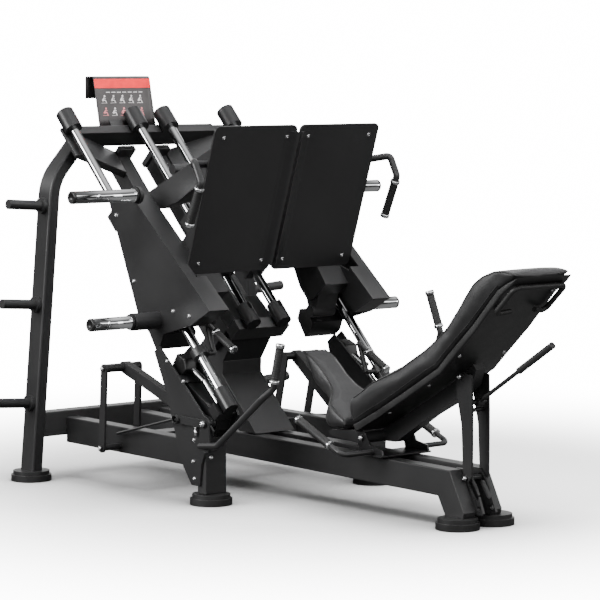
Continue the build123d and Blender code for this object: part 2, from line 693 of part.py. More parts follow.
with BuildPart() as head_handle:
    tube_path([(1062, -60, 812), (1046, -126, 803), (1152, -126, 903), (1152, 126, 903), (1046, 126, 803),
               (1062, 60, 812)], 10, 22)
write(head_handle, "head_handle")

with BuildPart() as hand_rails:
    for tag, side in sides:
        tube_path([(394.6, side * 120, 240), (394.6, side * 270, 240), (330, side * 270, 268)], 10, 30)
write(hand_rails, "hand_rails")

with BuildPart() as hand_grips:
    for tag, side in sides:
        straight((330, side * 270, 268), (150, side * 270, 346), 16)
        straight((330, side * 270, 268), (318, side * 270, 273.2), 19)
        straight((150, side * 270, 346), (136, side * 270, 352.07), 18)
write(hand_grips, "hand_grips")

with BuildPart() as strut:
    for side in (-1, 1):
        lo, hi = span(side, 38, 46)
        slab([(764, 545), (778, 556), (806, 566), (850, 562), (853, 430), (852, 190), (836, 169), (818, 168),
              (809, 180), (798, 375), (775, 470)], lo, hi)
        bar_y(*strut_top, 10, *span(side, 30, 52))
    bar_y(*strut_foot, 10, -52, 52)
    bar_y(820, 430, 8, -46, 46)
    bar_y(842, 462, 7, -46, 46)
write(strut, "strut")

with BuildPart() as adjust_lever:
    straight((842, 0, 462), (1046, 0, 592), 8)
    bar_y(842, 462, 15, -16, 16)
    bar_y(842, 462, 7 + bore_gap, -20, 20, mode=Mode.SUBTRACT)
    straight((1046, 0, 592), (1214, 0, 699), 13)
write(adjust_lever, "adjust_lever")
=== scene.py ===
import math

import bmesh
import bpy
import numpy as np
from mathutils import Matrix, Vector
from mathutils.bvhtree import BVHTree


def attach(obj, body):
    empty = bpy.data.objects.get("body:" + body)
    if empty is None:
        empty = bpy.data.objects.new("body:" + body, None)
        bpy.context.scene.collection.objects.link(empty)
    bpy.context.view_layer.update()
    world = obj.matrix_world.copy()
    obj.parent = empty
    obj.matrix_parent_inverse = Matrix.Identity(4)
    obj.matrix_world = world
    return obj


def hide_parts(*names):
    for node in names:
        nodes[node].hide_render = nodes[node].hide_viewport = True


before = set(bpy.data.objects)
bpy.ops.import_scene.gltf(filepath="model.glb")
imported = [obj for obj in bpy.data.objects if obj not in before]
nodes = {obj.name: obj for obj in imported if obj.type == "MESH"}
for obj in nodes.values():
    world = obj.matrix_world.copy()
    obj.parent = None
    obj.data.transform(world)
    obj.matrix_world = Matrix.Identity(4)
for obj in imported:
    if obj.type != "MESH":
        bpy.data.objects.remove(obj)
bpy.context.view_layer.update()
X0 = 0.022508                   # moves the drawing's zero to the middle of the overall length
ROD_ANGLE = math.radians(46)    # guide rods below the horizontal
SU = math.sin(ROD_ANGLE)
CU = math.cos(ROD_ANGLE)
scene = bpy.context.scene
SIDES = (("left", -1), ("right", 1))
# the drawing's millimetres
LEVER_PIVOT = (-152.0, 322.0)   # x and z
STOP_TRAVEL = 160               # between the two stop positions
HORN_TIP_Y = 790
PLACARD_Y = -226                # the placard's left edge
PLACARD_WIDTH = 290
PRINT_LIFT = 2.4                # print above the placard's middle surface
# degrees and radians
LEVER_SWING = 24                # degrees between the two lever positions
PLATE_TILT = math.radians(18)   # footplates from the vertical
# metres
HORN_R = 0.025
PIN_HEAD_R = 0.0098
SMALL_BOLT = (0.0082, 0.0042)   # head radius and height
PAD_VOXEL = 0.006
# others
PAD_PRESSURE = 3.0              # cloth pressure that fills the pads
WHITE = 16.0                    # emission that the view transform shows as white


def at(x, y, z):
    """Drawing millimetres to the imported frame, in metres."""
    return Vector((x / 1000 + X0, y / 1000, z / 1000))


def on_rod(s, n=0.0):
    """x and z in the drawing, s along the guide rods and n off them."""
    return (-1139.0 + s * CU + n * SU, 1475.0 - s * SU + n * CU)


# ---- camera -------------------------------------------------------------------------
view = bpy.data.cameras.new("view")
view.lens = 169.785
view.sensor_width = 36.0
view.sensor_fit = "HORIZONTAL"
view.clip_end = 200
eye = bpy.data.objects.new("view", view)
scene.collection.objects.link(eye)
eye.location = (8.219 + X0, -7.145, 1.731)
aim = Vector((-0.758231, 0.646149, -0.087208))
eye.rotation_euler = aim.to_track_quat("-Z", "Y").to_euler()
eye.rotation_euler.rotate_axis("Z", 0.001)
scene.camera = eye


# ---- materials ----------------------------------------------------------------------
def new_mat(name):
    m = bpy.data.materials.new(name)
    m.use_nodes = True
    nt = m.node_tree
    bsdf = next(n for n in nt.nodes if n.type == "BSDF_PRINCIPLED")
    return m, nt, bsdf


def noise(nt, scale, detail=3.0, rough=0.5, stretch=None):
    coord = nt.nodes.new("ShaderNodeTexCoord")
    tex = nt.nodes.new("ShaderNodeTexNoise")
    tex.inputs["Scale"].default_value = scale
    tex.inputs["Detail"].default_value = detail
    tex.inputs["Roughness"].default_value = rough
    if stretch:
        mapping = nt.nodes.new("ShaderNodeMapping")
        mapping.inputs["Scale"].default_value = stretch
        nt.links.new(coord.outputs["Object"], mapping.inputs["Vector"])
        nt.links.new(mapping.outputs["Vector"], tex.inputs["Vector"])
    else:
        nt.links.new(coord.outputs["Object"], tex.inputs["Vector"])
    return tex


def spread(nt, tex, low, high, a=0.3, b=0.7):
    m = nt.nodes.new("ShaderNodeMapRange")
    m.inputs["From Min"].default_value = a
    m.inputs["From Max"].default_value = b
    m.inputs["To Min"].default_value = low
    m.inputs["To Max"].default_value = high
    nt.links.new(tex.outputs[0], m.inputs["Value"])
    return m.outputs["Result"]


def tint(nt, tex, dark, light, a=0.3, b=0.7):
    r = nt.nodes.new("ShaderNodeValToRGB")
    r.color_ramp.elements[0].position = a
    r.color_ramp.elements[0].color = (*dark, 1)
    r.color_ramp.elements[1].position = b
    r.color_ramp.elements[1].color = (*light, 1)
    nt.links.new(tex.outputs[0], r.inputs["Fac"])
    return r.outputs["Color"]


def bump(nt, height, bsdf, strength, distance, before=None):
    b = nt.nodes.new("ShaderNodeBump")
    b.inputs["Strength"].default_value = strength
    b.inputs["Distance"].default_value = distance
    nt.links.new(height, b.inputs["Height"])
    if before is not None:
        nt.links.new(before.outputs["Normal"], b.inputs["Normal"])
    nt.links.new(b.outputs["Normal"], bsdf.inputs["Normal"])
    return b


def powder(name, base, rough, wear=0.0):
    """Satin powder coat: orange peel, slow gloss variation, faintly worn edges."""
    m, nt, bsdf = new_mat(name)
    slow = noise(nt, 3.0, 4)
    fine = noise(nt, 900.0, 2)
    peel = noise(nt, 260.0, 2)
    c = tint(nt, slow, [v * 0.86 for v in base], [v * 1.16 for v in base])
    if wear > 0:
        geo = nt.nodes.new("ShaderNodeNewGeometry")
        ramp = nt.nodes.new("ShaderNodeMapRange")
        ramp.inputs["From Min"].default_value = 0.53
        ramp.inputs["From Max"].default_value = 0.60
        ramp.inputs["To Max"].default_value = wear
        nt.links.new(geo.outputs["Pointiness"], ramp.inputs["Value"])
        mix = nt.nodes.new("ShaderNodeMix")
        mix.data_type = "RGBA"
        mix.inputs["B"].default_value = (0.16, 0.16, 0.16, 1)
        nt.links.new(ramp.outputs["Result"], mix.inputs["Factor"])
        nt.links.new(c, mix.inputs["A"])
        c = mix.outputs["Result"]
    nt.links.new(c, bsdf.inputs["Base Color"])
    nt.links.new(spread(nt, slow, rough - 0.05, rough + 0.06), bsdf.inputs["Roughness"])
    first = bump(nt, peel.outputs[0], bsdf, 0.12, 0.0006)
    bump(nt, fine.outputs[0], bsdf, 0.10, 0.0002, first)
    return m


def metal(name, base, low, high, streak=None):
    m, nt, bsdf = new_mat(name)
    bsdf.inputs["Metallic"].default_value = 1.0
    slow = noise(nt, 9.0, 5)
    fine = noise(nt, 420.0, 2, stretch=streak)
    dark = [v * 0.95 for v in base]
    light = [min(1, v * 1.03) for v in base]
    nt.links.new(tint(nt, slow, dark, light), bsdf.inputs["Base Color"])
    nt.links.new(spread(nt, fine, low, high), bsdf.inputs["Roughness"])
    bump(nt, fine.outputs[0], bsdf, 0.03, 0.0001)
    return m


def rubber(name, base, rough, grain=700.0, depth=0.35):
    m, nt, bsdf = new_mat(name)
    slow = noise(nt, 14.0, 4)
    fine = noise(nt, grain, 3)
    nt.links.new(tint(nt, slow, [v * 0.8 for v in base], [v * 1.25 for v in base]), bsdf.inputs["Base Color"])
    nt.links.new(spread(nt, slow, rough - 0.06, rough + 0.05), bsdf.inputs["Roughness"])
    bump(nt, fine.outputs[0], bsdf, depth, 0.0006)
    return m


def leather(name, base, rough):
    """Synthetic leather: pebbled grain from one cell size over soft wrinkles."""
    m, nt, bsdf = new_mat(name)
    coord = nt.nodes.new("ShaderNodeTexCoord")
    cells = nt.nodes.new("ShaderNodeTexVoronoi")
    cells.inputs["Scale"].default_value = 420.0
    nt.links.new(coord.outputs["Object"], cells.inputs["Vector"])
    slow = noise(nt, 5.0, 5)
    soft = noise(nt, 38.0, 4)
    nt.links.new(tint(nt, slow, [v * 0.85 for v in base], [v * 1.2 for v in base]), bsdf.inputs["Base Color"])
    nt.links.new(spread(nt, soft, rough - 0.05, rough + 0.07), bsdf.inputs["Roughness"])
    bsdf.inputs["Sheen Weight"].default_value = 0.06
    first = bump(nt, cells.outputs["Distance"], bsdf, 0.22, 0.0008)
    bump(nt, soft.outputs[0], bsdf, 0.10, 0.003, first)
    return m


M = {
    "frame": powder("coat_frame", (0.019, 0.019, 0.0195), 0.40, 0.20),
    "sled": powder("coat_sled", (0.019, 0.019, 0.0195), 0.38, 0.20),
    "plate": powder("coat_plate", (0.017, 0.017, 0.0175), 0.36, 0.25),
    "link": powder("coat_link", (0.021, 0.021, 0.0215), 0.38, 0.20),
    "bench": powder("coat_bench", (0.019, 0.019, 0.0195), 0.40, 0.20),
    "dark": powder("coat_dark", (0.011, 0.011, 0.0115), 0.34, 0.1),
    "chrome": metal("chrome_bright", (0.86, 0.87, 0.88), 0.035, 0.10, (1, 1, 1)),
    "steel": metal("steel_bolt", (0.70, 0.70, 0.71), 0.14, 0.26),
    "grip": rubber("rubber_grip", (0.015, 0.015, 0.015), 0.55),
    "foot": rubber("rubber_foot", (0.014, 0.014, 0.014), 0.45, 300.0, 0.2),
    "bush": rubber("nylon_bush", (0.011, 0.011, 0.011), 0.35, 200.0, 0.1),
    "pad": leather("leather_pad", (0.018, 0.018, 0.0185), 0.44),
    "piping": leather("leather_piping", (0.009, 0.009, 0.009), 0.5),
    "board": rubber("board_shell", (0.016, 0.016, 0.016), 0.42, 900.0, 0.3),
    "paint_red": rubber("print_red", (0.72, 0.004, 0.010), 0.45, 500.0, 0.05),
    "paint_grey": rubber("print_grey", (0.040, 0.037, 0.037), 0.45, 500.0, 0.05),
    "print_light": rubber("print_light", (0.50, 0.48, 0.48), 0.40, 500.0, 0.05),
    "print_pink": rubber("print_pink", (0.55, 0.18, 0.19), 0.40, 500.0, 0.05),
}


# ---- mesh helpers -------------------------------------------------------------------
def finish_piece(o, body, slot, *stands_for):
    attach(o, body)
    if stands_for:
        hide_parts(*stands_for)
    return o


def obj_from(bm, name, mats, smooth=True):
    bmesh.ops.recalc_face_normals(bm, faces=bm.faces)
    me = bpy.data.meshes.new(name)
    bm.to_mesh(me)
    bm.free()
    for m in mats:
        me.materials.append(m)
    o = bpy.data.objects.new(name, me)
    scene.collection.objects.link(o)
    for p in me.polygons:
        p.use_smooth = smooth
    return o


def basis(axis):
    a = axis.normalized()
    u = a.orthogonal().normalized()
    return u, a.cross(u), a


def lathe(bm, origin, axis, profile, segs=40):
    """Turned surface: profile is (distance along, radius[, material]) pairs; radius 0 closes it."""
    u, v, a = basis(axis)
    rings = []
    for item in profile:
        d, r = item[0], item[1]
        if r <= 1e-7:
            rings.append([bm.verts.new(origin + a * d)])
        else:
            rings.append([bm.verts.new(origin + a * d + (u * math.cos(t) + v * math.sin(t)) * r)
                          for t in (2 * math.pi * i / segs for i in range(segs))])
    for k in range(len(rings) - 1):
        m = profile[k + 1][2] if len(profile[k + 1]) > 2 else 0
        p, q = rings[k], rings[k + 1]
        for i in range(segs):
            j = (i + 1) % segs
            if len(p) == 1 and len(q) == 1:
                continue
            if len(p) == 1:
                f = bm.faces.new((p[0], q[i], q[j]))
            elif len(q) == 1:
                f = bm.faces.new((p[i], p[j], q[0]))
            else:
                f = bm.faces.new((p[i], p[j], q[j], q[i]))
            f.material_index = m


def button_bolt(bm, p, n, r, h):
    """Domed head with a recessed hexagon socket on a thin washer."""
    s = r * 0.42
    lathe(bm, p, n, [(0, 0), (0, r * 1.0), (h * 0.22, r * 1.0), (h * 0.26, r * 0.93), (h * 0.5, r * 0.9),
                     (h * 0.8, r * 0.72), (h, r * 0.5), (h, s)], 24)
    lathe(bm, p, n, [(h, s), (h, s * 0.96), (h * 0.45, s * 0.94), (h * 0.4, 0)], 6)


def bolts(name, body, slot, items, stands_for=(), mats=None):
    bm = bmesh.new()
    for p, n, r, h in items:
        button_bolt(bm, Vector(p), Vector(n), r, h)
    o = obj_from(bm, name, mats or [M["steel"]], True)
    return finish_piece(o, body, slot, *stands_for)


def grip(name, a, b, r, body, node, cap=0.016, collar=0.014):
    """Ribbed rubber sleeve between a chrome collar and a chrome end cap; a and b are its ends."""
    axis = b - a
    length = axis.length
    prof = [(0, 0, 1), (0.0, r * 1.02, 1), (0.0015, r * 1.14, 1), (collar * 0.5, r * 1.16, 1),
            (collar - 0.0015, r * 1.14, 1), (collar, r * 1.0, 1), (collar + 0.0005, r * 0.97, 0)]
    d = collar + 0.004
    end = length - cap
    k = 0
    while d < end - 0.006:
        prof.append((d, r * (1.0 if k % 2 else 0.965), 0))
        prof.append((d + 0.0022, r * (1.0 if k % 2 else 0.965), 0))
        d += 0.0045
        k += 1
    prof += [(end, r * 0.98, 0), (end + 0.0006, r * 1.02, 1), (end + 0.002, r * 1.10, 1),
             (length - 0.003, r * 1.10, 1), (length - 0.0008, r * 1.0, 1), (length, r * 0.86, 1),
             (length - 0.002, r * 0.6, 1), (length - 0.002, 0, 1)]
    bm = bmesh.new()
    lathe(bm, a, axis, prof, 36)
    o = obj_from(bm, name, [M["grip"], M["chrome"]])
    return finish_piece(o, body, "grip_rubber", node)


# ---- steelwork from the drawing -----------------------------------------------------
# node: (material, bevel width in metres)
plan = {
    "head_rails": ("frame", 0.004),
    "side_rails": ("frame", 0.004),
    "cross_beams": ("frame", 0.005),
    "mid_legs": ("frame", 0.004),
    "pedestal": ("frame", 0.003),
    "centre_tubes": ("frame", 0.005),
    "crossbeam": ("frame", 0.003),
    "uprights": ("frame", 0.003),
    "storage_posts": ("frame", 0.002),
    "rod_cups": ("dark", 0.004),
    "side_plates": ("frame", 0.0012),
    "side_webs": ("dark", 0.0012),
    "bumpers": ("bush", 0.006),
    "feet": ("foot", 0.004),
    "placard_stay": ("frame", 0.001),
    "dampers": ("chrome", 0.001),
    "bench_bracket": ("dark", 0.0015),
    "head_plates": ("dark", 0.0015),
    "hand_rails": ("bench", 0.0),
    "guide_rods": ("chrome", 0.0015),
    "bench_spine": ("bench", 0.003),
    "back_board": ("board", 0.006),
    "head_handle": ("grip", 0.002),
    "strut": ("bench", 0.002),
    "adjust_lever": ("bench", 0.002),
}
for tag, side in SIDES:
    plan[f"footplate_{tag}"] = ("plate", 0.0016)
    plan[f"sled_frame_{tag}"] = ("sled", 0.002)
    plan[f"outer_bearings_{tag}"] = ("bush", 0.001)
    plan[f"side_handle_{tag}"] = ("sled", 0.0)
    plan[f"release_lever_{tag}"] = ("link", 0.0012)
    plan[f"stirrup_{tag}"] = ("link", 0.002)
    plan[f"link_arm_{tag}"] = ("link", 0.004)
    plan[f"push_rod_{tag}"] = ("dark", 0.0)
    plan[f"stop_block_{tag}"] = ("link", 0.0015)
for name, (mat, width) in plan.items():
    o = nodes[name]
    o.data.materials.clear()
    o.data.materials.append(M[mat])
    w = o.modifiers.new("weld", "WELD")
    w.merge_threshold = 0.00002
    if width > 0:
        b = o.modifiers.new("bevel", "BEVEL")
        b.width = width
        b.segments = 2
        b.limit_method = "ANGLE"
        b.angle_limit = math.radians(35)
        b.harden_normals = False
    for p in o.data.polygons:
        p.use_smooth = True
    s = o.modifiers.new("normals", "WEIGHTED_NORMAL")
    s.keep_sharp = False
    s.weight = 80

# ---- horns --------------------------------------------------------------------------
for tag, side in SIDES:
    bm = bmesh.new()
    for x, z, y in ((-592, 1175, 478), (-476, 693, 590)):
        a = at(x, side * y, z)
        length = (HORN_TIP_Y - y) / 1000
        r = HORN_R
        lathe(bm, a, Vector((0, side, 0)), [
            (0, 0, 1), (0.0, r * 1.16, 1), (0.004, r * 1.2, 1), (0.011, r * 1.2, 1), (0.014, r * 1.1, 1),
            (0.0145, r, 0), (length - 0.012, r, 0), (length - 0.0115, r * 1.01, 1),
            (length - 0.003, r * 1.01, 1), (length, r * 0.9, 1), (length, r * 0.62, 1),
            (length - 0.006, r * 0.58, 1), (length - 0.006, 0, 1)], 48)
    o = obj_from(bm, f"horn_pair_{tag}", [M["chrome"], M["bush"]])
    finish_piece(o, f"sled_{tag}", "chrome", f"horns_{tag}")


# ---- grips --------------------------------------------------------------------------
def turned(p, c, deg):
    """Point p turned about c, both as x and z."""
    t = math.radians(deg)
    dx, dz = p[0] - c[0], p[1] - c[1]
    return (c[0] + dx * math.cos(t) - dz * math.sin(t), c[1] + dx * math.sin(t) + dz * math.cos(t))


for tag, side in SIDES:
    start = at(-162.8, side * 500, 1221)
    end = at(-229, side * 500, 1070)
    grip(f"sled_handle_grip_{tag}", start, end, 0.0168, f"sled_{tag}", f"side_grip_{tag}")
    swing = 0 if side < 0 else LEVER_SWING
    low = turned((238, 508), LEVER_PIVOT, swing)
    high = turned((258.1, 657.9), LEVER_PIVOT, swing)
    start = at(low[0], side * 470, low[1])
    end = at(high[0], side * 454.35, high[1])
    grip(f"lever_hand_grip_{tag}", start, end, 0.0163, f"lever_{tag}", f"lever_grip_{tag}")
    drop = 0 if side < 0 else STOP_TRAVEL
    gx, gz = on_rod(1196 + drop, 60)
    start = at(gx, side * 345, gz)
    end = at(gx + 0.88 * 118 + 14, side * 345, gz - 0.475 * 118 - 7.5)
    grip(f"stop_hand_grip_{tag}", start, end, 0.0155, f"stop_{tag}", f"stop_grip_{tag}")
for tag, side in SIDES:
    start = at(330, side * 270, 268)
    end = at(136, side * 270, 352.07)
    grip(f"bench_hand_grip_{tag}", start, end, 0.0163, "frame", "hand_grips")

# ---- bolts --------------------------------------------------------------------------
plate_out = Vector((math.cos(PLATE_TILT), 0, -math.sin(PLATE_TILT)))
plate_up = Vector((math.sin(PLATE_TILT), 0, math.cos(PLATE_TILT)))
for tag, side in SIDES:
    items = []
    for y in (54, 369):
        for down in (46, 560):
            p = at(-166, side * y, 1449) - plate_up * down / 1000
            items.append((p, plate_out, *SMALL_BOLT))
    for x, z in ((-739, 1090), (-624, 836), (-375, 735), (-276, 723)):
        items.append((at(x, side * 464, z), (0, side, 0), 0.0092, 0.0062))
    bolts(f"sled_bolt_heads_{tag}", f"sled_{tag}", "chrome", items, (f"sled_bolts_{tag}",))
items = []
for side in (-1, 1):
    for x, z in ((-240, 166), (-234, 250), (-300, 470), (-402, 540), (-232, 100)):
        items.append((at(x, side * 474, z), (0, side, 0), 0.0085, 0.0055))
    for z in (186, 236):
        items.append((at(-174, side * 440, z), (1, 0, 0), 0.0092, 0.006))
bm = bmesh.new()
for p, n, r, h in items:
    button_bolt(bm, Vector(p), Vector(n), r, h)
for side in (-1, 1):
    lathe(bm, at(-214, side * 481.5, 304), Vector((0, 0, -1)), [
        (0, 0), (0, 0.0072), (0.002, 0.0078), (0.006, 0.0078), (0.007, 0.0055), (0.009, 0.0055),
        (0.010, 0.0075), (0.034, 0.0075), (0.036, 0.006), (0.036, 0)], 28)
o = obj_from(bm, "side_bolt_heads", [M["steel"]])
finish_piece(o, "frame", "chrome", "side_hardware")
# backrest board: an edge's two ends, and the share of the way along it
items = []
for side in (-1, 1):
    for a, b, t in (((455, 380), (592, 457), 0.2), ((592, 457), (781, 567), 0.55),
                    ((836, 620), (963, 738), 0.15), ((1090, 872), (1150, 916), 0.2)):
        x = a[0] + (b[0] - a[0]) * t
        z = a[1] + (b[1] - a[1]) * t
        run = math.hypot(b[0] - a[0], b[1] - a[1])
        out_of_board = ((b[1] - a[1]) / run, 0, -(b[0] - a[0]) / run)
        items.append((at(x, side * 112, z), out_of_board, *SMALL_BOLT))
bolts("board_bolt_heads", "bench", "chrome", items, ("board_bolts",))

# pin heads that dress the drawing's plain pin ends
for tag, side in SIDES:
    head = (at(LEVER_PIVOT[0], side * 500, LEVER_PIVOT[1]), (0, side, 0), 0.0125, 0.008)
    bolts(f"lever_pivot_head_{tag}", f"lever_{tag}", "chrome", [head], mats=[M["chrome"]])
bm = bmesh.new()
for side in (-1, 1):
    button_bolt(bm, at(335, side * 128, 287), Vector((0, side, 0)), 0.011, 0.006)
o = obj_from(bm, "bench_pivot_heads", [M["steel"]])
finish_piece(o, "bench", "chrome")
bm = bmesh.new()
for side in (-1, 1):
    button_bolt(bm, at(822, side * 52, 182), Vector((0, side, 0)), PIN_HEAD_R, 0.006)
    button_bolt(bm, at(790, side * 52, 553), Vector((0, side, 0)), PIN_HEAD_R, 0.006)
o = obj_from(bm, "strut_pin_heads", [M["steel"]])
finish_piece(o, "strut", "chrome")
for tag, side in SIDES:
    swing = 0 if side < 0 else LEVER_SWING
    foot = (-752, 168)
    low = turned((-402, 371), LEVER_PIVOT, swing)
    reach = math.dist((-735, 486), foot)
    arm = math.dist((-402, 371), (-735, 486))
    gap = math.dist(low, foot)
    bearing = math.atan2(low[1] - foot[1], low[0] - foot[0])
    ang = bearing + math.acos((reach ** 2 + gap ** 2 - arm ** 2) / (2 * reach * gap))
    top = (foot[0] + reach * math.cos(ang), foot[1] + reach * math.sin(ang))
    bm = bmesh.new()
    for p in (foot, top):
        button_bolt(bm, at(p[0], side * 542, p[1]), Vector((0, side, 0)), PIN_HEAD_R, 0.005)
    o = obj_from(bm, f"stirrup_pin_heads_{tag}", [M["steel"]])
    finish_piece(o, f"stirrup_{tag}", "chrome")

# ---- placard ------------------------------------------------------------------------
bm = bmesh.new()
sheet_line = [(-1171, 1430), (-1176, 1454), (-1212, 1622), (-1214.2, 1626), (-1218, 1629), (-1222, 1630),
              (-1258, 1630), (-1262, 1629), (-1265, 1626), (-1266, 1622), (-1266, 1540)]
cols = 12
grid = []
for x, z in sheet_line:
    grid.append([bm.verts.new(at(x, PLACARD_Y + PLACARD_WIDTH * i / cols, z)) for i in range(cols + 1)])
for k in range(len(grid) - 1):
    for i in range(cols):
        f = bm.faces.new((grid[k][i], grid[k][i + 1], grid[k + 1][i + 1], grid[k + 1][i]))
o = obj_from(bm, "placard_sheet", [M["paint_grey"]], True)
th = o.modifiers.new("thickness", "SOLIDIFY")
th.thickness = 0.0035
th.offset = 0
finish_piece(o, "frame", "placard_print", "placard")
face_a = Vector((sheet_line[1][0], 0, sheet_line[1][1]))
face_b = Vector((sheet_line[2][0], 0, sheet_line[2][1]))
face_dir = (face_b - face_a).normalized()
face_len = (face_b - face_a).length
face_n = Vector((face_dir.z, 0, -face_dir.x)).normalized()


def on_face(y, up, out=PRINT_LIFT):
    p = face_a + face_dir * up + face_n * out
    return at(p.x, y, p.z)


def flat_quad(bm, y0, y1, u0, u1, mat=0, out=PRINT_LIFT):
    vs = [bm.verts.new(on_face(y, u, out)) for y, u in ((y0, u0), (y1, u0), (y1, u1), (y0, u1))]
    f = bm.faces.new(vs)
    f.material_index = mat


def stroke(bm, a, b, w, mat=0):
    d = Vector((b[0] - a[0], b[1] - a[1]))
    n = Vector((-d.y, d.x)).normalized() * w / 2
    vs = [bm.verts.new(on_face(y, u)) for y, u in ((a[0] + n.x, a[1] + n.y), (b[0] + n.x, b[1] + n.y),
                                                   (b[0] - n.x, b[1] - n.y), (a[0] - n.x, a[1] - n.y))]
    f = bm.faces.new(vs)
    f.material_index = mat


def dot(bm, c, r, mat=0):
    angles = [2 * math.pi * i / 14 for i in range(14)]
    vs = [bm.verts.new(on_face(c[0] + r * math.cos(t), c[1] + r * math.sin(t))) for t in angles]
    f = bm.faces.new(vs)
    f.material_index = mat


bm = bmesh.new()
flat_quad(bm, PLACARD_Y, PLACARD_Y + PLACARD_WIDTH, face_len - 40, face_len - 1.5, 0)
o = obj_from(bm, "placard_band", [M["paint_red"]], False)
finish_piece(o, "frame", "placard_print")
bm = bmesh.new()
for k in range(5):
    y = -190 + 46 * k
    for row, (base, mat) in enumerate(((72, 0), (20, 1))):
        m = mat if k % 2 == 0 or row == 0 else 0
        dot(bm, (y + 8, base + 26), 4.5, m)
        stroke(bm, (y + 6, base + 20), (y - 6, base + 6), 6, m)
        stroke(bm, (y - 6, base + 6), (y + 10, base + 10), 4.5, m)
        stroke(bm, (y + 10, base + 10), (y + 14, base - 2), 4, m)
        stroke(bm, (y + 4, base + 18), (y + 14, base + 16), 3, m)
        stroke(bm, (y - 12, base - 3), (y + 18, base - 3), 1.4, m)
for k in range(7):
    stroke(bm, (-172 + 28 * k, 114), (-152 + 28 * k, 114), 3.2, 0)
o = obj_from(bm, "placard_figures", [M["print_light"], M["print_pink"]], False)
finish_piece(o, "frame", "placard_print")

# ---- pads ---------------------------------------------------------------------------
FRONT = [(277, 372), (273, 426), (300, 445), (391, 505), (551, 575), (686, 649),
         (739, 686), (803, 739), (844, 789), (906, 865), (947, 911), (998, 943),
         (1048, 960), (1110, 966), (1160, 960), (1174, 943)]
SEAM = [(1124, 922), (1074, 894), (948, 760), (819, 642), (767, 590), (579, 481), (442, 405), (302, 334)]


def inset(points, d):
    """Polygon moved inwards by d."""
    out = []
    n = len(points)
    ends = [(points[i], points[(i + 1) % n]) for i in range(n)]
    area = sum(a[0] * b[1] - b[0] * a[1] for a, b in ends)
    sgn = 1 if area > 0 else -1
    for i in range(n):
        a, b, c = Vector(points[i - 1]), Vector(points[i]), Vector(points[(i + 1) % n])
        e, f = (b - a).normalized(), (c - b).normalized()
        n1, n2 = Vector((-e.y, e.x)) * sgn, Vector((-f.y, f.x)) * sgn
        m = (n1 + n2)
        m = m / max(0.5, m.dot(n1))
        out.append((b.x + m.x * d, b.y + m.y * d))
    return out


def pad_block(name, outline, half, mat):
    bm = bmesh.new()
    front = [bm.verts.new(at(x, -half, z)) for x, z in outline]
    face = bm.faces.new(front)
    grown = bmesh.ops.extrude_face_region(bm, geom=[face])
    verts = [g for g in grown["geom"] if isinstance(g, bmesh.types.BMVert)]
    bmesh.ops.translate(bm, verts=verts, vec=(0, 2 * half / 1000, 0))
    o = obj_from(bm, name, [mat])
    b = o.modifiers.new("bevel", "BEVEL")
    b.width = 0.012
    b.segments = 3
    b.limit_method = "ANGLE"
    b.angle_limit = math.radians(50)
    return o


def loft(name, rings, mat):
    bm = bmesh.new()
    vr = [[bm.verts.new(p) for p in ring] for ring in rings]
    n = len(vr[0])
    for a, b in zip(vr, vr[1:]):
        for i in range(n):
            bm.faces.new((a[i], a[(i + 1) % n], b[(i + 1) % n], b[i]))
    bm.faces.new(list(reversed(vr[0])))
    bm.faces.new(vr[-1])
    return obj_from(bm, name, [mat])


def apply_all(o):
    bpy.context.view_layer.update()
    dg = bpy.context.evaluated_depsgraph_get()
    me = bpy.data.meshes.new_from_object(o.evaluated_get(dg))
    old = o.data
    o.modifiers.clear()
    o.data = me
    if old.users == 0:
        bpy.data.meshes.remove(old)


def stuff(o, voxel, pressure, cap, frames=20):
    """Remesh, blow up gently as cloth, cap the travel and keep the result."""
    r = o.modifiers.new("remesh", "REMESH")
    r.mode = "VOXEL"
    r.voxel_size = voxel
    apply_all(o)
    before = np.zeros(len(o.data.vertices) * 3)
    o.data.vertices.foreach_get("co", before)
    c = o.modifiers.new("cloth", "CLOTH")
    c.settings.use_pressure = True
    c.settings.uniform_pressure_force = pressure
    c.settings.effector_weights.gravity = 0
    c.settings.quality = 4
    c.settings.mass = 0.4
    c.settings.tension_stiffness = 40
    c.settings.compression_stiffness = 40
    c.settings.shear_stiffness = 20
    c.settings.bending_stiffness = 4
    c.collision_settings.use_collision = False
    scene.frame_start = 1
    scene.frame_end = frames
    c.point_cache.frame_start = 1
    c.point_cache.frame_end = frames
    for f in range(1, frames + 1):
        scene.frame_set(f)
    apply_all(o)
    scene.frame_set(1)
    after = np.zeros(len(before))
    o.data.vertices.foreach_get("co", after)
    move = (after - before).reshape(-1, 3)
    size = np.linalg.norm(move, axis=1, keepdims=True)
    move *= np.minimum(1, cap / np.maximum(size, 1e-9))
    o.data.vertices.foreach_set("co", (before.reshape(-1, 3) + move).ravel())
    s = o.modifiers.new("smooth", "CORRECTIVE_SMOOTH")
    s.iterations = 6
    s.use_only_smooth = True
    u = o.modifiers.new("subdivision", "SUBSURF")
    u.levels = 1
    u.render_levels = 1
    apply_all(o)
    for p in o.data.polygons:
        p.use_smooth = True


def tree_of(o):
    bm = bmesh.new()
    bm.from_mesh(o.data)
    t = BVHTree.FromBMesh(bm)
    bm.free()
    return t


